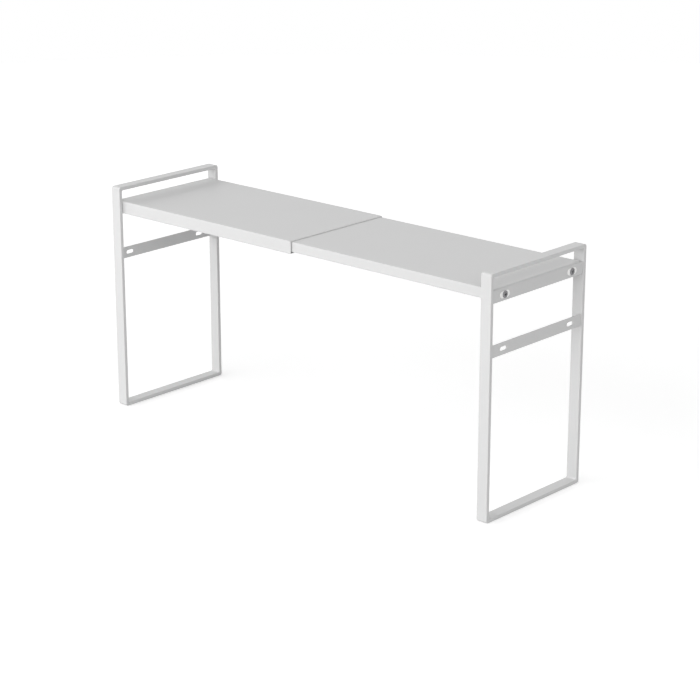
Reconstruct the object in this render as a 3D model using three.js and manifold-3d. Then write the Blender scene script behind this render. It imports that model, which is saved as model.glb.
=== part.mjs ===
// Expandable cabinet shelf: two strip-steel end frames carrying a shelf made of two sliding panels.
// Millimetres, +Z up. X runs along the shelf, the front is -Y and the floor is z = 0.
import * as THREE from 'three';
import { mergeVertices } from 'three/addons/utils/BufferGeometryUtils.js';
import Module from 'manifold-3d';

const wasm = await Module();
wasm.setup();

// Whole object
const openLength = 672; // over both frames, at the opening shown
const frameHeight = 320;
const frameDepth = 191;

// Frame loops, bent from flat strip
const stripWidth = 16;
const stripThick = 4.9;
const cornerInside = 2; // radii of the four corners, pressed tight outside
const cornerOutside = 5;
const stripEdge = 0.5; // rounding along the strip's edges

// Crossbars
const barHeight = 15.9;
const barThick = 1.5;
const barSetIn = 1.5; // bar's face behind the frame's outer side
const railRise = 20; // rail above the shelf's top
const barDrop = 10.45; // middle of the upper bar below the shelf's top
const heightStep = 68.5; // between the two shelf heights
const slotLength = 15.5;
const slotHeight = 5.5;
const slotFromLeg = 23; // slot's middle to the leg's inner face

// Shelf panels, folded from sheet
const sheet = 1.2;
const foldInside = 0.2; // inside radius of every fold
const outerLength = 334;
const panelOverlap = 62; // inner panel inside the outer one, at the opening shown
const apronHeight = 17.8; // of the outer panel
const outerLip = 10;
const innerLip = 7;
const legGap = 0.3; // outer panel to the legs
const slideGapTop = 0.15; // between the panels, above, beside and below the inner one
const slideGapSide = 1.1;
const slideGapLip = 1.3;

// Fixings: screw, long washer and nut
const threadRadius = 2.5;
const boreGap = 0.3; // hole radius over the thread's
const headRadius = 4.65;
const headHeight = 1.2;
const headEdge = 0.5; // rounding of the head's rim
const recessLength = 4.6;
const recessWidth = 1.1;
const recessDepth = 0.9;
const washerMargin = 1.6; // washer beyond the slot, all round
const washerThick = 0.8;
const washerEdge = 0.2;
const nutAcross = 8;
const nutHeight = 4.7;
const tipReach = 1.5; // screw beyond the nut
const tipChamfer = 0.6;

// Derived places
const halfLength = openLength / 2;
const legInside = frameDepth / 2 - stripThick;
const shelfTop = frameHeight - railRise;
const upperBar = shelfTop - barDrop;
const lowerBar = upperBar - heightStep;
const slotY = legInside - slotFromLeg;
const foldOutside = foldInside + sheet;
const boreRadius = threadRadius + boreGap;
const endInset = barSetIn + barThick; // the panel's end seats on the crossbar
const innerLength = openLength - 2 * endInset - outerLength + panelOverlap;
const shankLength = washerThick + barThick + sheet + nutHeight + tipReach;

const outerSection = {
  half: legInside - legGap,
  top: shelfTop,
  bottom: shelfTop - apronHeight,
  lip: outerLip,
};
const innerSection = {
  half: outerSection.half - sheet - slideGapSide,
  top: shelfTop - sheet - slideGapTop,
  bottom: outerSection.bottom + sheet + slideGapLip,
  lip: innerLip,
};

// Finishes
const powderCoat = { color: '#c8c8c8', roughness: 0.5, metalness: 0 };
const whiteNylon = { color: '#f6f6f4', roughness: 0.5, metalness: 0 };
const darkSteel = { color: '#4b4b4b', roughness: 0.35, metalness: 1 };
const zincSteel = { color: '#b9bcc0', roughness: 0.3, metalness: 1 };

const ends = { left: -1, right: 1 };
const sides = { front: -1, rear: 1 };

// Solids

function toSolid(geometry) {
  const bare = geometry.clone();
  bare.deleteAttribute('normal');
  bare.deleteAttribute('uv');
  const merged = mergeVertices(bare, 1e-4);
  const triVerts = [];
  for (let i = 0; i < merged.index.count; i += 3) {
    const [a, b, c] = [0, 1, 2].map((k) => merged.index.getX(i + k));
    if (a !== b && b !== c && c !== a) triVerts.push(a, b, c);
  }
  const vertProperties = merged.attributes.position.array;
  return new wasm.Manifold(
    new wasm.Mesh({ numProp: 3, vertProperties, triVerts: Uint32Array.from(triVerts) }),
  );
}

function toGeometry(manifold) {
  const { vertProperties, triVerts } = manifold.getMesh();
  const geometry = new THREE.BufferGeometry();
  geometry.setAttribute('position', new THREE.BufferAttribute(vertProperties, 3));
  geometry.setIndex(new THREE.BufferAttribute(triVerts, 1));
  geometry.computeVertexNormals();
  return geometry;
}

function namedMesh(name, solid, finish) {
  const mesh = new THREE.Mesh(toGeometry(solid), new THREE.MeshStandardMaterial(finish));
  mesh.name = name;
  return mesh;
}

// A shape drawn in Y and Z becomes a slab between two X places, its rims rounded by edge.
function slabAlongX(shape, xA, xB, edge = 0, curveSegments = 4) {
  const geometry = new THREE.ExtrudeGeometry(shape, {
    depth: Math.abs(xB - xA) - 2 * edge,
    bevelEnabled: edge > 0,
    bevelSize: edge,
    bevelThickness: edge,
    bevelOffset: -edge,
    bevelSegments: 2,
    curveSegments,
  });
  geometry.translate(0, 0, Math.min(xA, xB) + edge);
  const turn = new THREE.Matrix4().makeBasis(
    new THREE.Vector3(0, 1, 0),
    new THREE.Vector3(0, 0, 1),
    new THREE.Vector3(1, 0, 0),
  );
  return toSolid(geometry.applyMatrix4(turn));
}

// Outlines in Y and Z

function roundedBox(path, half, bottom, top, radius) {
  path.absarc(half - radius, top - radius, radius, 0, Math.PI / 2);
  path.absarc(radius - half, top - radius, radius, Math.PI / 2, Math.PI);
  path.absarc(radius - half, bottom + radius, radius, Math.PI, 1.5 * Math.PI);
  path.absarc(half - radius, bottom + radius, radius, 1.5 * Math.PI, 2 * Math.PI);
  return path;
}

function obround(path, y, z, length, height) {
  const reach = (length - height) / 2;
  path.absarc(y + reach, z, height / 2, -Math.PI / 2, Math.PI / 2);
  path.absarc(y - reach, z, height / 2, Math.PI / 2, 1.5 * Math.PI);
  return path;
}

function circle(y, z, radius) {
  const path = new THREE.Path();
  path.absarc(y, z, radius, 0, Math.PI);
  path.absarc(y, z, radius, Math.PI, 2 * Math.PI);
  return path;
}

// End frames

function frameLoop(out) {
  const shape = new THREE.Shape();
  roundedBox(shape, frameDepth / 2, 0, frameHeight, cornerOutside);
  const opening = new THREE.Path();
  roundedBox(opening, legInside, stripThick, frameHeight - stripThick, cornerInside);
  shape.holes.push(opening);
  return slabAlongX(shape, out * halfLength, out * (halfLength - stripWidth), stripEdge, 3);
}

function crossbar(out, middle) {
  const shape = new THREE.Shape();
  shape.moveTo(-legInside, middle - barHeight / 2);
  shape.lineTo(legInside, middle - barHeight / 2);
  shape.lineTo(legInside, middle + barHeight / 2);
  shape.lineTo(-legInside, middle + barHeight / 2);
  for (const side of Object.values(sides)) {
    shape.holes.push(obround(new THREE.Path(), side * slotY, middle, slotLength, slotHeight));
  }
  const face = halfLength - barSetIn;
  return slabAlongX(shape, out * face, out * (face - barThick));
}

// Shelf panels

// A panel's section is one sheet folded into a top, two aprons and two return lips.
function panelSection({ half, top, bottom, lip }) {
  const far = half - foldOutside;
  const quarter = Math.PI / 2;
  const shape = new THREE.Shape();
  shape.moveTo(half - lip, bottom);
  shape.absarc(far, bottom + foldOutside, foldOutside, -quarter, 0);
  shape.absarc(far, top - foldOutside, foldOutside, 0, quarter);
  shape.absarc(-far, top - foldOutside, foldOutside, quarter, 2 * quarter);
  shape.absarc(-far, bottom + foldOutside, foldOutside, 2 * quarter, 3 * quarter);
  shape.lineTo(lip - half, bottom);
  shape.lineTo(lip - half, bottom + sheet);
  shape.absarc(-far, bottom + foldOutside, foldInside, 3 * quarter, 2 * quarter, true);
  shape.absarc(-far, top - foldOutside, foldInside, 2 * quarter, quarter, true);
  shape.absarc(far, top - foldOutside, foldInside, quarter, 0, true);
  shape.absarc(far, bottom + foldOutside, foldInside, 0, -quarter, true);
  shape.lineTo(half - lip, bottom + sheet);
  return shape;
}

// The end flange hangs from a fold of its own between the aprons, leaving open corners.
function endFlange(out, end, { half, top, bottom }) {
  const width = 2 * (half - foldOutside);
  const quarter = Math.PI / 2;
  const shape = new THREE.Shape();
  shape.moveTo(0, bottom);
  shape.lineTo(sheet, bottom);
  shape.absarc(foldOutside, top - foldOutside, foldInside, 2 * quarter, quarter, true);
  shape.lineTo(2 * foldOutside, top - sheet);
  shape.lineTo(2 * foldOutside, top);
  shape.absarc(foldOutside, top - foldOutside, foldOutside, quarter, 2 * quarter);
  const geometry = new THREE.ExtrudeGeometry(shape, {
    depth: width,
    bevelEnabled: false,
    curveSegments: 3,
  });
  geometry.translate(0, 0, -width / 2);
  geometry.rotateX(Math.PI / 2);
  if (out > 0) geometry.rotateZ(Math.PI);
  geometry.translate(end, 0, 0);
  return toSolid(geometry);
}

function shelfPanel(out, length, section) {
  const end = out * (halfLength - endInset);
  const body = slabAlongX(
    panelSection(section),
    end - out * foldOutside,
    end - out * length,
    0,
    3,
  );
  let panel = body.add(endFlange(out, end, section));
  for (const side of Object.values(sides)) {
    const hole = new THREE.CylinderGeometry(boreRadius, boreRadius, 4 * sheet, 20);
    hole.rotateZ(Math.PI / 2);
    hole.translate(end - (out * sheet) / 2, side * slotY, upperBar);
    panel = panel.subtract(toSolid(hole));
  }
  return panel;
}

// Fixings, each at its own X place and pointing outwards

const washerFace = halfLength - barSetIn + washerThick;

function screw(out, side) {
  const rim = headHeight - headEdge;
  const profile = [
    new THREE.Vector2(0, -shankLength),
    new THREE.Vector2(threadRadius - tipChamfer, -shankLength),
    new THREE.Vector2(threadRadius, tipChamfer - shankLength),
    new THREE.Vector2(threadRadius, 0),
    new THREE.Vector2(headRadius, 0),
  ];
  const rimArc = new THREE.EllipseCurve(headRadius - headEdge, rim, headEdge, headEdge, 0, Math.PI / 2);
  profile.push(...rimArc.getPoints(3), new THREE.Vector2(0, headHeight));
  const turned = new THREE.LatheGeometry(profile, 20);
  turned.rotateZ(-Math.PI / 2);
  let solid = toSolid(turned);
  for (const turn of [0, Math.PI / 2]) {
    const arm = new THREE.BoxGeometry(2 * recessDepth, recessLength, recessWidth);
    arm.rotateX(turn);
    arm.translate(headHeight, 0, 0);
    solid = solid.subtract(toSolid(arm));
  }
  return solid.rotate([0, 0, out > 0 ? 0 : 180]).translate([out * washerFace, side * slotY, upperBar]);
}

function longWasher(out, side) {
  const shape = new THREE.Shape();
  const [length, height] = [slotLength, slotHeight].map((size) => size + 2 * washerMargin);
  obround(shape, side * slotY, upperBar, length, height);
  shape.holes.push(circle(side * slotY, upperBar, boreRadius));
  return slabAlongX(shape, out * washerFace, out * (washerFace - washerThick), washerEdge, 5);
}

function nut(out, side) {
  const shape = new THREE.Shape();
  const corner = nutAcross / Math.sqrt(3);
  for (let i = 0; i < 6; i += 1) {
    const angle = (i * Math.PI) / 3;
    const point = [side * slotY + corner * Math.cos(angle), upperBar + corner * Math.sin(angle)];
    if (i === 0) shape.moveTo(...point);
    else shape.lineTo(...point);
  }
  shape.holes.push(circle(side * slotY, upperBar, boreRadius));
  const start = halfLength - endInset - sheet;
  return slabAlongX(shape, out * start, out * (start - nutHeight), 0, 5);
}

// Assembly

const shelf = new THREE.Group();
for (const [end, out] of Object.entries(ends)) {
  shelf.add(namedMesh(`${end}_frame_loop`, frameLoop(out), powderCoat));
  shelf.add(namedMesh(`${end}_upper_crossbar`, crossbar(out, upperBar), powderCoat));
  shelf.add(namedMesh(`${end}_lower_crossbar`, crossbar(out, lowerBar), powderCoat));
  for (const [place, side] of Object.entries(sides)) {
    shelf.add(namedMesh(`${end}_${place}_screw`, screw(out, side), darkSteel));
    shelf.add(namedMesh(`${end}_${place}_washer`, longWasher(out, side), whiteNylon));
    shelf.add(namedMesh(`${end}_${place}_nut`, nut(out, side), zincSteel));
  }
}
shelf.add(namedMesh('outer_shelf_panel', shelfPanel(ends.left, outerLength, outerSection), powderCoat));
shelf.add(namedMesh('inner_shelf_panel', shelfPanel(ends.right, innerLength, innerSection), powderCoat));

export default shelf;
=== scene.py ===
# Expandable cabinet shelf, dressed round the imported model. Metres, +Z up, the front is -Y.
from math import cos, pi, radians, sin, sqrt

import bmesh
import bpy
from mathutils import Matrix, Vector


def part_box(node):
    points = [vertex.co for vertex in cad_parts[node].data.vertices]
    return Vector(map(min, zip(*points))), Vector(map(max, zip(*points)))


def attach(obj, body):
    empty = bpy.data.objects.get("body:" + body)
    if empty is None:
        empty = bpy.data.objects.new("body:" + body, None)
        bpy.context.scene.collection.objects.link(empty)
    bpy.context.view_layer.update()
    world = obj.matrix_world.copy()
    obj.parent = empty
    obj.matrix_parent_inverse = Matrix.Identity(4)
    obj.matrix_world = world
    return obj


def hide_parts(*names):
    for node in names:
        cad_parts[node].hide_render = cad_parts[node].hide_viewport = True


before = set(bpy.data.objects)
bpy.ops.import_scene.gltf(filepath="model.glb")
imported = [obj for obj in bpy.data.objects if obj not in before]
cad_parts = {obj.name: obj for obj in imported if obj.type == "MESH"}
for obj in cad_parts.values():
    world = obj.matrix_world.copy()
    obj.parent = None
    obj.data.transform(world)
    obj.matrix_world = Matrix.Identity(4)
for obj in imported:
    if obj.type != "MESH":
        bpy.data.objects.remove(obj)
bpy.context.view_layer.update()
mm = 0.001
tiny = 1e-6  # places nearer than this are one place
origin = (0, 0, 0)
alongX = (0, pi / 2, 0)  # turns a primitive's axis from Z to X
sharpAngle = 55  # degrees; a fold or a rim is sharper
print("frame loaded:", len(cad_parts), "nodes")


# Modelling helpers

def enterEdit():
    bpy.ops.object.mode_set(mode="EDIT")


def leaveEdit():
    bpy.ops.object.mode_set(mode="OBJECT")


def settle():
    # takes the active object's place into its mesh
    bpy.ops.object.transform_apply(location=True, rotation=True, scale=True)


def addStart(kind, name, scale=(1, 1, 1), **settings):
    # a primitive at its size and place, left in edit mode with everything selected
    bpy.ops.object.select_all(action="DESELECT")
    getattr(bpy.ops.mesh, f"primitive_{kind}_add")(**settings)
    piece = bpy.context.object
    piece.name = piece.data.name = name
    piece.scale = scale
    settle()
    enterEdit()
    return piece


def selectAll():
    bpy.ops.mesh.select_all(action="SELECT")


def middle(part):
    return sum((corner.co for corner in part.verts), Vector()) / len(part.verts)


def isSharp(edge):
    return len(edge.link_faces) == 2 and edge.calc_face_angle() > radians(sharpAngle)


def facingX(way):
    # a test for faces square to X, seen from one side
    return lambda face: way * face.normal.x > 0.9


def pick(kind, test):
    # selects only the verts, edges or faces that pass the test
    bpy.ops.mesh.select_mode(type=kind)
    bpy.ops.mesh.select_all(action="DESELECT")
    mesh = bmesh.from_edit_mesh(bpy.context.object.data)
    parts = {"VERT": mesh.verts, "EDGE": mesh.edges, "FACE": mesh.faces}[kind]
    for part in parts:
        if test(part):
            part.select_set(True)
    bmesh.update_edit_mesh(bpy.context.object.data)


def extrude(x=0, y=0, z=0):
    bpy.ops.mesh.extrude_region_move(TRANSFORM_OT_translate={"value": (x, y, z)})


def resizeRound(share, centre=origin):
    # makes a section across X larger or smaller
    bpy.ops.transform.resize(value=(1, share, share), center_override=centre)


def stretchY(reach, centreY=0):
    # pulls the two halves of a round form apart along Y
    for half in (-1, 1):
        pick("VERT", lambda v: half * (v.co.y - centreY) > tiny)
        bpy.ops.transform.translate(value=(0, half * reach, 0))


def roundSharp(offset, steps):
    pick("EDGE", isSharp)
    bpy.ops.mesh.bevel(offset=offset, segments=steps, affect="EDGES", clamp_overlap=True)


def faceOut():
    selectAll()
    bpy.ops.mesh.remove_doubles(threshold=tiny)
    bpy.ops.mesh.normals_make_consistent(inside=False)


def makeActive(piece):
    bpy.ops.object.select_all(action="DESELECT")
    piece.select_set(True)
    bpy.context.view_layer.objects.active = piece


def applyModifier(piece, kind, **settings):
    makeActive(piece)
    modifier = piece.modifiers.new(kind, kind)
    for key, value in settings.items():
        setattr(modifier, key, value)
    bpy.ops.object.modifier_apply(modifier=modifier.name)


def cut(piece, tool, how="DIFFERENCE"):
    applyModifier(piece, "BOOLEAN", operation=how, object=tool, solver="EXACT")
    bpy.data.objects.remove(tool)
    enterEdit()
    selectAll()
    bpy.ops.mesh.dissolve_degenerate(threshold=2 * tiny)
    bpy.ops.mesh.delete_loose()
    leaveEdit()


def smooth(piece, angle=40):
    makeActive(piece)
    bpy.ops.object.shade_smooth_by_angle(angle=radians(angle))
    applyModifier(piece, "WEIGHTED_NORMAL", keep_sharp=True)


def finishEdges(piece, sizes):
    makeActive(piece)
    enterEdit()
    roundSharp(sizes["edge"], sizes["edgeSteps"])
    leaveEdit()
    smooth(piece)


def turnPiece(degrees, axis):
    # turns the active piece about the origin
    bpy.ops.transform.rotate(value=radians(degrees), orient_axis=axis, center_override=origin)
    settle()


def copyPiece(piece, name, shift=origin, halfTurn=False):
    # a copy with its own mesh; the right end is the left end turned round
    makeActive(piece)
    bpy.ops.object.duplicate(linked=False)
    twin = bpy.context.object
    twin.name = twin.data.name = name
    bpy.ops.transform.translate(value=shift)
    settle()
    if halfTurn:
        turnPiece(180, "Z")
    return twin


# Material helpers

noiseLow, noiseHigh = 0.3, 0.7  # nearly all of a noise texture's values lie between these


def linear(hexColour):
    shares = [int(hexColour[i:i + 2], 16) / 255 for i in (1, 3, 5)]
    return [s / 12.92 if s <= 0.04045 else ((s + 0.055) / 1.055) ** 2.4 for s in shares] + [1]


def addNode(tree, kind, links=None, sockets=None, **settings):
    # one node with its settings, its input values and its incoming links
    node = tree.nodes.new(kind)
    for key, value in settings.items():
        setattr(node, key, value)
    for key, value in (sockets or {}).items():
        node.inputs[key].default_value = value
    for key, source in (links or {}).items():
        tree.links.new(source, node.inputs[key])
    return node


def newMaterial(name):
    material = bpy.data.materials.new(name)
    material.use_nodes = True
    material.node_tree.nodes.clear()
    return material, material.node_tree


# Satin polyester powder coat: sprayed as dust and melted on, so it is one even pale skin with a
# soft broad sheen, a faint orange-peel ripple and a slightly uneven film.
powderCoat = {
    "thick": "#d1d1d1",
    "thin": "#cfcfcf",
    "roughness": (0.42, 0.5),
    "ior": 1.5,
    "peelSize": 2.2 * mm,  # real ripple is about 1 mm, drawn coarser so that it shows
    "peelHeight": 0.012 * mm,
    "peelStrength": 0.5,
    "filmPatch": 70 * mm,  # drift of the film's thickness
    "grain": 0.45 * mm,
}


def makePowderCoat():
    material, tree = newMaterial("satin_powder_coat_on_steel")
    place3d = addNode(tree, "ShaderNodeTexCoord").outputs["Object"]
    film = addNode(tree, "ShaderNodeTexNoise", {"Vector": place3d},
                   {"Scale": 1 / powderCoat["filmPatch"], "Detail": 2.0})
    tint = addNode(tree, "ShaderNodeMix", {"Factor": film.outputs["Fac"]},
                   {"A": linear(powderCoat["thin"]), "B": linear(powderCoat["thick"])},
                   data_type="RGBA")
    grain = addNode(tree, "ShaderNodeTexNoise", {"Vector": place3d},
                    {"Scale": 1 / powderCoat["grain"], "Detail": 1.0})
    low, high = powderCoat["roughness"]
    gloss = addNode(tree, "ShaderNodeMapRange", {"Value": grain.outputs["Fac"]},
                    {"From Min": noiseLow, "From Max": noiseHigh, "To Min": low, "To Max": high})
    peel = addNode(tree, "ShaderNodeTexNoise", {"Vector": place3d},
                   {"Scale": 1 / powderCoat["peelSize"], "Detail": 1.5, "Roughness": 0.4})
    bump = addNode(tree, "ShaderNodeBump", {"Height": peel.outputs["Fac"]},
                   {"Strength": powderCoat["peelStrength"], "Distance": powderCoat["peelHeight"]})
    shader = addNode(
        tree, "ShaderNodeBsdfPrincipled",
        {"Base Color": tint.outputs["Result"], "Roughness": gloss.outputs["Result"],
         "Normal": bump.outputs["Normal"]},
        {"IOR": powderCoat["ior"]})
    addNode(tree, "ShaderNodeOutputMaterial", {"Surface": shader.outputs["BSDF"]})
    return material


# Moulded nylon 6: clean white with a little depth, a soft sheen and fine spark-eroded mould grain.
mouldedNylon = {"colour": "#fdfdfc", "shade": "#f9f9f7", "flow": 6 * mm, "grain": 0.3 * mm,
                "grainHeight": 0.01 * mm, "grainStrength": 0.3, "roughness": 0.32, "ior": 1.53}


def makeNylon():
    material, tree = newMaterial("moulded_white_nylon")
    place3d = addNode(tree, "ShaderNodeTexCoord").outputs["Object"]
    flow = addNode(tree, "ShaderNodeTexNoise", {"Vector": place3d},
                   {"Scale": 1 / mouldedNylon["flow"], "Detail": 2.0, "Distortion": 0.6})
    tint = addNode(tree, "ShaderNodeMix", {"Factor": flow.outputs["Fac"]},
                   {"A": linear(mouldedNylon["shade"]), "B": linear(mouldedNylon["colour"])},
                   data_type="RGBA")
    grain = addNode(tree, "ShaderNodeTexNoise", {"Vector": place3d},
                    {"Scale": 1 / mouldedNylon["grain"], "Detail": 1.0})
    bump = addNode(tree, "ShaderNodeBump", {"Height": grain.outputs["Fac"]},
                   {"Strength": mouldedNylon["grainStrength"],
                    "Distance": mouldedNylon["grainHeight"]})
    shader = addNode(
        tree, "ShaderNodeBsdfPrincipled",
        {"Base Color": tint.outputs["Result"], "Normal": bump.outputs["Normal"]},
        {"Roughness": mouldedNylon["roughness"], "IOR": mouldedNylon["ior"]})
    addNode(tree, "ShaderNodeOutputMaterial", {"Surface": shader.outputs["BSDF"]})
    return material


# Gunmetal-nickel plated steel: cold-headed screws, mid grey and fairly bright, with small dulled
# spots where the barrel they were plated in has knocked them together.
gunmetal = {"dark": "#747476", "light": "#98989a", "roughness": (0.2, 0.36), "spot": 1.1 * mm}

# Zinc-plated steel: pale blue-grey metal, a little cloudy from the passivating bath.
zincPlate = {"dark": "#a9adb3", "light": "#c9ccd0", "roughness": (0.22, 0.4), "spot": 2.4 * mm}


def makePlatedSteel(name, plate):
    material, tree = newMaterial(name)
    place3d = addNode(tree, "ShaderNodeTexCoord").outputs["Object"]
    cloud = addNode(tree, "ShaderNodeTexNoise", {"Vector": place3d},
                    {"Scale": 1 / plate["spot"], "Detail": 3.0, "Roughness": 0.6})
    patch = addNode(tree, "ShaderNodeMapRange", {"Value": cloud.outputs["Fac"]},
                    {"From Min": noiseLow, "From Max": noiseHigh})
    tint = addNode(tree, "ShaderNodeMix", {"Factor": patch.outputs["Result"]},
                   {"A": linear(plate["dark"]), "B": linear(plate["light"])}, data_type="RGBA")
    low, high = plate["roughness"]
    gloss = addNode(tree, "ShaderNodeMapRange", {"Value": patch.outputs["Result"]},
                    {"To Min": high, "To Max": low})
    shader = addNode(
        tree, "ShaderNodeBsdfPrincipled",
        {"Base Color": tint.outputs["Result"], "Roughness": gloss.outputs["Result"]},
        {"Metallic": 1.0})
    addNode(tree, "ShaderNodeOutputMaterial", {"Surface": shader.outputs["BSDF"]})
    return material


finishes = {
    "powder_coated_steel": makePowderCoat(),
    "white_nylon": makeNylon(),
    "dark_screw_steel": makePlatedSteel("gunmetal_nickel_plated_steel", gunmetal),
    "zinc_plated_steel": makePlatedSteel("zinc_plated_steel", zincPlate),
}
print("materials made:", len(finishes))


def dress(piece, body, slot, *nodes):
    piece.data.materials.clear()
    piece.data.materials.append(finishes[slot])
    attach(piece, body)
    if nodes:
        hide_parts(*nodes)


endBodies = {"left": "fixed_half", "right": "sliding_half"}
otherSide = {"front": "rear", "rear": "front"}
screwLow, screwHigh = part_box("left_rear_screw")
screwAt = (screwLow + screwHigh) / 2  # slots and holes stand where the screws are

# Frame loops: flat strip pressed round four corners and closed
loopStrip = {"thick": 4.9 * mm, "outside": 3.5 * mm, "inside": 2 * mm, "cornerSteps": 10,
             "edge": 0.5 * mm, "edgeSteps": 3}


def roundedSlab(name, centre, depth, height, thick, radius):
    slab = addStart("plane", name, scale=(height, depth, 1), size=1, rotation=alongX,
                    location=(centre.x - thick / 2, centre.y, centre.z))
    bpy.ops.mesh.bevel(offset=radius, segments=loopStrip["cornerSteps"], affect="VERTICES")
    selectAll()
    extrude(x=thick)
    faceOut()
    leaveEdit()
    return slab


def bendLoop(node, name):
    low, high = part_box(node)
    size, centre = high - low, (low + high) / 2
    wall = 2 * loopStrip["thick"]
    loop = roundedSlab(name, centre, size.y, size.z, size.x, loopStrip["outside"])
    cut(loop, roundedSlab("loop_opening", centre, size.y - wall, size.z - wall, 2 * size.x,
                          loopStrip["inside"]))
    finishEdges(loop, loopStrip)
    return loop


leftLoop = bendLoop("left_frame_loop", "left_loop_strip")
rightLoop = copyPiece(leftLoop, "right_loop_strip", halfTurn=True)
for end, loop in (("left", leftLoop), ("right", rightLoop)):
    dress(loop, endBodies[end], "powder_coated_steel", f"{end}_frame_loop")
print("frame loops bent")

# Crossbars: thin flat bar with two punched slots
slotBar = {"slotLength": 12.7 * mm, "slotHeight": 5.3 * mm, "slotSteps": 32,
           "punchReach": 6,  # punch's length in bar thicknesses
           "weldDepth": 0.5 * mm,  # the ends melt this far into the legs
           "edge": 0.3 * mm, "edgeSteps": 2}


def punchBar(node, name):
    low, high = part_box(node)
    size, centre = high - low, (low + high) / 2
    bar = addStart("cube", name, scale=(size.x, size.y + 2 * slotBar["weldDepth"], size.z), size=1,
                   location=centre)
    leaveEdit()
    for side in (-1, 1):
        slotY = side * screwAt.y
        punch = addStart("cylinder", "slot_punch", vertices=slotBar["slotSteps"],
                         radius=slotBar["slotHeight"] / 2, depth=slotBar["punchReach"] * size.x,
                         location=(centre.x, slotY, centre.z), rotation=alongX)
        stretchY((slotBar["slotLength"] - slotBar["slotHeight"]) / 2, slotY)
        leaveEdit()
        cut(bar, punch)
    finishEdges(bar, slotBar)
    return bar


# Weld beads: a small rippled bead in the inner corner at each bar's end, under the same coat
weldBead = {"radius": 1.35 * mm, "length": 11 * mm, "ripples": 7, "ripple": 1.09, "sides": 12,
            "start": 0.55, "swell": 1.7, "fade": 0.55, "shadeAngle": 80}


def layBead(name):
    ripples = [weldBead["ripple"], 1 / weldBead["ripple"]] * weldBead["ripples"]
    scales = [weldBead["swell"]] + ripples + [weldBead["fade"]]
    bead = addStart("circle", name, vertices=weldBead["sides"],
                    radius=weldBead["start"] * weldBead["radius"], fill_type="NGON",
                    location=(0, 0, -weldBead["length"] / 2))
    for scale in scales:
        extrude(z=weldBead["length"] / len(scales))
        bpy.ops.transform.resize(value=(scale, scale, 1), center_override=origin)
    faceOut()
    leaveEdit()
    applyModifier(bead, "SUBSURF", levels=1, render_levels=1)
    smooth(bead, weldBead["shadeAngle"])
    return bead


bead = layBead("weld_bead")
for level in ("upper", "lower"):
    leftNode = f"left_{level}_crossbar"
    leftBar = punchBar(leftNode, f"left_{level}_slot_bar")
    rightBar = copyPiece(leftBar, f"right_{level}_slot_bar", halfTurn=True)
    low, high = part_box(leftNode)
    for end, bar in (("left", leftBar), ("right", rightBar)):
        dress(bar, endBodies[end], "powder_coated_steel", f"{end}_{level}_crossbar")
    for side, y in (("front", low.y), ("rear", high.y)):
        corner = (high.x, y, (low.z + high.z) / 2)
        leftBead = copyPiece(bead, f"left_{level}_{side}_weld", shift=corner)
        rightBead = copyPiece(leftBead, f"right_{level}_{otherSide[side]}_weld", halfTurn=True)
        for end, weld in (("left", leftBead), ("right", rightBead)):
            dress(weld, endBodies[end], "powder_coated_steel")
bpy.data.objects.remove(bead)
print("crossbars punched and welded")

# Shelf panels: one sheet each, notched at two corners, folded down, in again and down at the end
panelSheet = {"sheet": 1.2 * mm, "fold": 1.4 * mm, "foldSteps": 8, "notch": 1.8 * mm,
              "flatAngle": 0.5,  # degrees; flatter joins are one face
              "press": 0.7 * mm, "pressRun": 3 * mm,
              "holeRadius": 2.8 * mm, "holeSteps": 32, "drillLength": 6 * mm,
              "edge": 0.22 * mm, "edgeSteps": 2}
panelLips = {"outer_shelf_panel": 10 * mm, "inner_shelf_panel": 7 * mm}


def pressEnd(openEnd, inward, half, top, bottom):
    # the open end is pressed thin from outside, so that it lies close over the other panel
    selectAll()
    bpy.ops.mesh.bisect(plane_co=(openEnd + inward * panelSheet["pressRun"], 0, 0),
                        plane_no=(1, 0, 0))
    fold, press = panelSheet["fold"], panelSheet["press"]
    nearArc = 0.02 * fold  # points within this of a fold's outer arc lie on it
    lipEnd = half - fold - 0.1 * mm  # clear of the fold's own points
    for side in (-1, 1):
        for foldZ in (top - fold, bottom + fold):
            centre = Vector((openEnd, side * (half - fold), foldZ))
            pick("VERT", lambda v: abs((v.co - centre).length - fold) < nearArc)
            resizeRound(1 - press / fold, centre)
        pick("VERT", lambda v: abs(v.co.x - openEnd) < tiny and abs(v.co.z - bottom) < tiny
             and 0 < side * v.co.y < lipEnd)
        bpy.ops.transform.translate(value=(0, 0, press))


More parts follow.
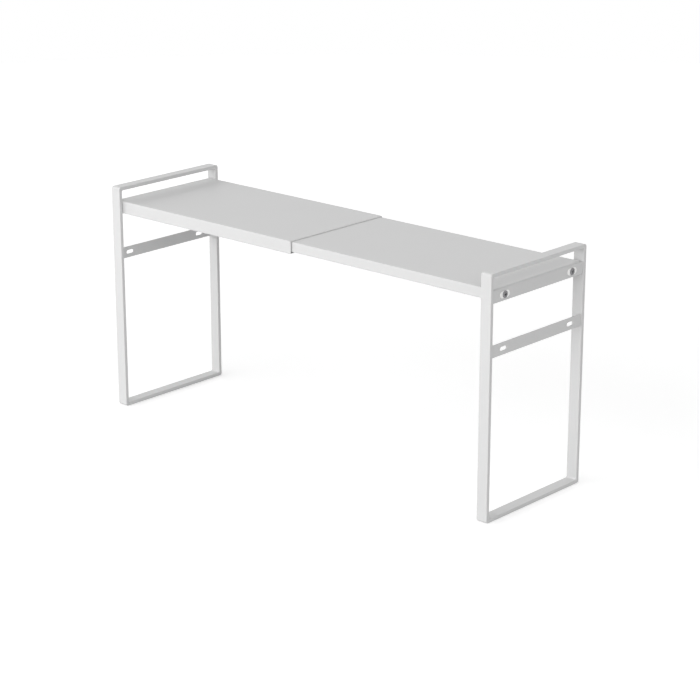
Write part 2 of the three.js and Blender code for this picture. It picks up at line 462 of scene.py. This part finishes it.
def foldPanel(node, name, out):
    low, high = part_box(node)
    size, half = high - low, high.y
    top, bottom = high.z, low.z
    end, openEnd = (high.x, low.x) if out > 0 else (low.x, high.x)
    notchX, notchY = end - out * panelSheet["notch"], half - panelSheet["notch"]
    panel = addStart("plane", name, scale=(size.x, size.y, 1), size=1,
                     location=((low.x + high.x) / 2, 0, top))
    for at, across in (((notchX, 0, 0), (1, 0, 0)), ((0, notchY, 0), (0, 1, 0)),
                       ((0, -notchY, 0), (0, 1, 0))):
        selectAll()
        bpy.ops.mesh.bisect(plane_co=at, plane_no=across)
    pick("FACE", lambda f: out * (middle(f).x - notchX) > 0 and abs(middle(f).y) > notchY)
    bpy.ops.mesh.delete(type="FACE")
    pick("EDGE", lambda e: abs(abs(middle(e).y) - half) < tiny)
    extrude(z=bottom - top)
    for side in (-1, 1):
        pick("EDGE", lambda e: abs(middle(e).z - bottom) < tiny
             and side * middle(e).y > half - tiny)
        extrude(y=-side * panelLips[node])
    pick("EDGE", lambda e: abs(middle(e).x - end) < tiny)
    extrude(z=bottom - top)
    selectAll()
    bpy.ops.mesh.normals_make_consistent(inside=False)
    pick("EDGE", isSharp)
    bpy.ops.mesh.bevel(offset=panelSheet["fold"], segments=panelSheet["foldSteps"],
                       affect="EDGES")
    selectAll()
    bpy.ops.mesh.dissolve_limited(angle_limit=radians(panelSheet["flatAngle"]))
    leaveEdit()
    applyModifier(panel, "SOLIDIFY", thickness=panelSheet["sheet"], offset=-1,
                  use_even_offset=True)
    enterEdit()
    pressEnd(openEnd, out, half, top, bottom)
    leaveEdit()
    for side in (-1, 1):
        drill = addStart("cylinder", "hole_drill", vertices=panelSheet["holeSteps"],
                         radius=panelSheet["holeRadius"], depth=panelSheet["drillLength"],
                         rotation=alongX, location=(end, side * screwAt.y, screwAt.z))
        leaveEdit()
        cut(panel, drill)
    finishEdges(panel, panelSheet)
    return panel


outerPanel = foldPanel("outer_shelf_panel", "outer_folded_panel", -1)
dress(outerPanel, "fixed_half", "powder_coated_steel", "outer_shelf_panel")
innerPanel = foldPanel("inner_shelf_panel", "inner_folded_panel", 1)
dress(innerPanel, "sliding_half", "powder_coated_steel", "inner_shelf_panel")
print("panels folded")

# Fixings are made round the X axis, with the outside towards -X, and then put in their places.
# Pan screws: low domed head with a cross recess, and a rolled thread
panScrew = {"head": 4.65 * mm, "headHeight": 1.2 * mm, "rim": 0.45 * mm, "sides": 48,
            "domeSteps": 8, "domeTurn": 82,  # degrees of the dome's arc
            "shank": 2.45 * mm, "length": 9.7 * mm, "tipBevel": 0.5 * mm,
            "pitch": 0.8 * mm, "turns": 9, "crest": 2.5 * mm, "threadStart": 2.4 * mm,
            "threadSides": 32, "trim": 2.6 * mm, "shadeAngle": 35,
            "threadDepth": 0.54, "shankOverlap": 2, "threadTrim": 1.2,  # in pitches
            "wing": 1.4 * mm, "wingReach": 1.9 * mm, "recess": 2.4 * mm, "recessTaper": 0.66,
            "driverStart": 0.05 * mm}  # the recess is cut from this far off the head


def threadRod(name):
    # one pitch of thread profile, swept round and along by the screw modifier
    pitch, crest = panScrew["pitch"], panScrew["crest"]
    root = crest - panScrew["threadDepth"] * pitch
    heights = [0, pitch / 8, 7 * pitch / 16, 11 * pitch / 16, pitch]
    radii = [crest, crest, root, root, crest]
    runs = len(heights) - 1
    rod = addStart("grid", name, x_subdivisions=1, y_subdivisions=runs, size=1)
    pick("VERT", lambda v: v.co.x > 0)
    bpy.ops.mesh.delete(type="VERT")
    for i, (height, radius) in enumerate(zip(heights, radii)):
        start = Vector((-0.5, i / runs - 0.5, 0))  # this point's place in the grid
        goal = Vector((panScrew["threadStart"] + height, 0, radius))
        pick("VERT", lambda v: (v.co - start).length < tiny)
        bpy.ops.transform.translate(value=goal - start)
    leaveEdit()
    applyModifier(rod, "SCREW", axis="X", angle=2 * pi, screw_offset=pitch,
                  iterations=panScrew["turns"], steps=panScrew["threadSides"],
                  render_steps=panScrew["threadSides"], use_merge_vertices=True,
                  merge_threshold=tiny)
    enterEdit()
    selectAll()
    bpy.ops.mesh.fill_holes(sides=0)
    faceOut()
    leaveEdit()
    return rod


def turnScrew(name):
    head, rim = panScrew["headHeight"], panScrew["rim"]
    screw = addStart("circle", name, vertices=panScrew["sides"], radius=panScrew["head"],
                     fill_type="NGON", rotation=alongX)
    extrude(x=-rim)
    # low dome in rings: each stands a little further out and is a little smaller
    steps = panScrew["domeSteps"]
    turns = [radians(panScrew["domeTurn"]) * i / steps for i in range(steps + 1)]
    for last, turn in zip(turns, turns[1:]):
        extrude(x=-(head - rim) * (sin(turn) - sin(last)) / sin(turns[-1]))
        resizeRound(cos(turn) / cos(last))
    faceOut()
    pick("FACE", facingX(1))
    bpy.ops.mesh.inset(thickness=panScrew["head"] - panScrew["shank"], depth=0)
    extrude(x=panScrew["threadStart"] + panScrew["shankOverlap"] * panScrew["pitch"])
    leaveEdit()
    # cross recess, tapered like the driver's tip
    wing, reach = panScrew["wing"], panScrew["wingReach"]
    driver = addStart("plane", "driver_tip", size=wing, rotation=alongX,
                      location=(-head - panScrew["driverStart"], 0, 0))
    for y, z in ((0, -1), (0, 1), (-1, 0), (1, 0)):
        # the square's own edge on this side, and no side of another wing
        pick("EDGE", lambda e: y * middle(e).y + z * middle(e).z > 0.49 * wing
             and abs(z * middle(e).y + y * middle(e).z) < 0.1 * wing)
        extrude(y=y * reach, z=z * reach)
    selectAll()
    extrude(x=panScrew["recess"])
    resizeRound(panScrew["recessTaper"])
    faceOut()
    leaveEdit()
    cut(screw, driver)
    return screw


def trimTool(name):
    # what is left of the thread: a rod with a bevelled tip
    start = panScrew["threadStart"] + panScrew["threadTrim"] * panScrew["pitch"]
    tip = panScrew["tipBevel"]
    tool = addStart("circle", name, vertices=panScrew["sides"], radius=panScrew["trim"],
                    fill_type="NGON", location=(start, 0, 0), rotation=alongX)
    extrude(x=panScrew["length"] - tip - start)
    extrude(x=tip)
    resizeRound(1 - tip / panScrew["trim"])
    faceOut()
    leaveEdit()
    return tool


# Long washers: flat and oblong, to cover the crossbar's slot
longWasher = {"endRadius": 4.35 * mm, "stretch": 5 * mm, "bore": 2.75 * mm, "thick": 0.8 * mm,
              "sides": 48, "edge": 0.25 * mm, "edgeSteps": 3}


def mouldWasher(name):
    # a ring from two circles, the outer one stretched along Y
    washer = addStart("circle", name, vertices=longWasher["sides"],
                      radius=longWasher["endRadius"], rotation=alongX)
    stretchY(longWasher["stretch"])
    bpy.ops.mesh.select_all(action="DESELECT")
    bpy.ops.mesh.primitive_circle_add(vertices=longWasher["sides"], radius=longWasher["bore"],
                                      rotation=alongX)
    selectAll()
    bpy.ops.mesh.bridge_edge_loops()
    selectAll()
    extrude(x=longWasher["thick"])
    faceOut()
    roundSharp(longWasher["edge"], longWasher["edgeSteps"])
    leaveEdit()
    smooth(washer)
    return washer


# Hexagon nuts: corners turned off at 30 degrees, bore countersunk at both faces
hexNut = {"across": 8 * mm, "height": 4.7 * mm, "face": 3.8 * mm, "chamferSlope": 0.577,
          "bore": 2.55 * mm, "sink": 0.5 * mm, "oversize": 1.02, "turnedSides": 96,
          "boreSides": 48, "shadeAngle": 20}


def cutNut(name):
    height, corner = hexNut["height"], hexNut["across"] / sqrt(3)
    inMiddle = {"location": (height / 2, 0, 0), "rotation": alongX}
    nut = addStart("cylinder", name, vertices=6, radius=corner, depth=2 * height, **inMiddle)
    leaveEdit()
    outside = hexNut["oversize"] * corner
    slope = (outside - hexNut["face"]) * hexNut["chamferSlope"]
    turning = addStart("cylinder", "nut_turning", vertices=hexNut["turnedSides"], radius=outside,
                       depth=height - 2 * slope, **inMiddle)
    for way in (-1, 1):
        pick("FACE", facingX(way))
        extrude(x=way * slope)
        resizeRound(hexNut["face"] / outside)
    faceOut()
    leaveEdit()
    cut(nut, turning, "INTERSECT")
    bore, sink = hexNut["bore"], hexNut["sink"]
    drill = addStart("cylinder", "nut_drill", vertices=hexNut["boreSides"], radius=bore,
                     depth=height - 2 * sink, **inMiddle)
    for way in (-1, 1):
        pick("FACE", facingX(way))
        extrude(x=way * 2 * sink)  # runs past the face, so the countersink opens cleanly
        resizeRound((bore + 2 * sink) / bore)
    faceOut()
    leaveEdit()
    cut(nut, drill)
    smooth(nut, hexNut["shadeAngle"])
    return nut


screw = turnScrew("pan_screw")
rod = threadRod("thread_rod")
cut(rod, trimTool("thread_trim"), "INTERSECT")
cut(screw, rod, "UNION")
smooth(screw, panScrew["shadeAngle"])

fixings = {  # model, material slot, and how far its origin stands in from its outer end
    "screw": (screw, "dark_screw_steel", panScrew["headHeight"]),
    "washer": (mouldWasher("long_washer"), "white_nylon", 0),
    "nut": (cutNut("hex_nut"), "zinc_plated_steel", 0),
}
driverTurns = {"left_front": 14, "left_rear": 52, "right_front": 4, "right_rear": 71}  # degrees


def fitFixing(kind, corner):
    model, slot, setIn = fixings[kind]
    end, side = corner.split("_")
    # the right end is the left end turned round, so front and rear change over there
    leftSide = side if end == "left" else otherSide[side]
    low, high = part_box(f"left_{leftSide}_{kind}")
    piece = copyPiece(model, f"{corner}_{kind}_fixing")
    if kind == "screw":
        turnPiece(driverTurns[corner], "X")
    seat = (low.x + setIn, (low.y + high.y) / 2, (low.z + high.z) / 2)
    bpy.ops.transform.translate(value=seat)
    settle()
    if end == "right":
        turnPiece(180, "Z")
    dress(piece, endBodies[end], slot, f"{corner}_{kind}")


for corner in driverTurns:
    for kind in fixings:
        fitFixing(kind, corner)
for model, _, _ in fixings.values():
    bpy.data.objects.remove(model)
print("fixings in place")

# Floor: matt pale paint that keeps the shadow. Seen directly or in a reflection it is lifted to
# white, a little more further off, where the softboxes reach less
studio = {"floor": "#e4e4e4", "floorRoughness": 0.9, "floorRadius": 3.0, "floorSides": 96,
          "floorDrop": 0.2 * mm, "nearLift": 0.39, "farLift": 0.48, "near": 0.6, "far": 3.0,
          "sky": 0.275}
white = (1, 1, 1, 1)


def seenDirectly(tree):
    path = addNode(tree, "ShaderNodeLightPath").outputs
    either = addNode(tree, "ShaderNodeMath", {0: path["Is Camera Ray"], 1: path["Is Glossy Ray"]},
                     operation="MAXIMUM")
    anyOf = addNode(tree, "ShaderNodeMath",
                    {0: either.outputs["Value"], 1: path["Is Transmission Ray"]},
                    operation="MAXIMUM")
    return anyOf.outputs["Value"]


floorPaint, tree = newMaterial("matt_floor_paint")
place3d = addNode(tree, "ShaderNodeTexCoord").outputs["Object"]
away = addNode(tree, "ShaderNodeVectorMath", {0: place3d}, operation="LENGTH")
reach = addNode(tree, "ShaderNodeMapRange", {"Value": away.outputs["Value"]},
                {"From Min": studio["near"], "From Max": studio["far"],
                 "To Min": studio["nearLift"], "To Max": studio["farLift"]})
lift = addNode(tree, "ShaderNodeMath", {0: seenDirectly(tree), 1: reach.outputs["Result"]},
               operation="MULTIPLY")
paint = addNode(tree, "ShaderNodeBsdfPrincipled", {"Emission Strength": lift.outputs["Value"]},
                {"Base Color": linear(studio["floor"]), "Roughness": studio["floorRoughness"],
                 "Specular IOR Level": 0.0, "Emission Color": white})
addNode(tree, "ShaderNodeOutputMaterial", {"Surface": paint.outputs["BSDF"]})
floor = addStart("circle", "floor", vertices=studio["floorSides"], radius=studio["floorRadius"],
                 fill_type="NGON", location=(0, 0, -studio["floorDrop"]))
leaveEdit()
floor.data.materials.append(floorPaint)

# Sky: even soft light, white where the camera or a reflection looks straight at it
sky = bpy.data.worlds.new("even_sky")
sky.use_nodes = True
sky.node_tree.nodes.clear()
glow = addNode(sky.node_tree, "ShaderNodeMapRange", {"Value": seenDirectly(sky.node_tree)},
               {"To Min": studio["sky"], "To Max": 1.0})
shade = addNode(sky.node_tree, "ShaderNodeBackground", {"Strength": glow.outputs["Result"]},
                {"Color": white})
addNode(sky.node_tree, "ShaderNodeOutputWorld", {"Surface": shade.outputs["Background"]})
bpy.context.scene.world = sky

# Softboxes: four large soft lamps, all alike and all aimed at one point below the panels
softboxRig = {"width": 6.0, "height": 4.0, "away": 5.0, "aim": (0, 0, 0.2)}
softboxes = {  # degrees round from the front towards the left, degrees up, watts
    "front_softbox": (15, 20, 173),
    "left_softbox": (80, 20, 165),
    "right_softbox": (-60, 40, 107),
    "rear_softbox": (180, 20, 56),
}


def hangSoftbox(name, around, rise, power):
    around, rise = radians(around), radians(rise)
    out = Vector((-sin(around) * cos(rise), -cos(around) * cos(rise), sin(rise)))
    lampData = bpy.data.lights.new(name, "AREA")
    lampData.shape = "RECTANGLE"
    lampData.size, lampData.size_y = softboxRig["width"], softboxRig["height"]
    lampData.energy = power
    lamp = bpy.data.objects.new(name, lampData)
    lamp.location = softboxRig["away"] * out
    sight = Vector(softboxRig["aim"]) - lamp.location
    lamp.rotation_euler = sight.to_track_quat("-Z", "Y").to_euler()
    lamp.visible_camera = lamp.visible_glossy = False  # no glare on the flat tops
    bpy.context.scene.collection.objects.link(lamp)


for name, (around, rise, power) in softboxes.items():
    hangSoftbox(name, around, rise, power)
print("studio set")

# Camera at the photograph's place and angle
shotCamera = {"at": (1.85322, -2.03002, 1.01562), "down": 17.848, "turn": 42.031,
              "lens": 110.325, "sensor": 36}
cameraData = bpy.data.cameras.new("shot_camera")
cameraData.lens = shotCamera["lens"]
cameraData.sensor_width = shotCamera["sensor"]
camera = bpy.data.objects.new("shot_camera", cameraData)
camera.location = shotCamera["at"]
camera.rotation_euler = (radians(90 - shotCamera["down"]), 0, radians(shotCamera["turn"]))
bpy.context.scene.collection.objects.link(camera)
bpy.context.scene.camera = camera
bpy.context.scene.view_settings.view_transform = "Standard"
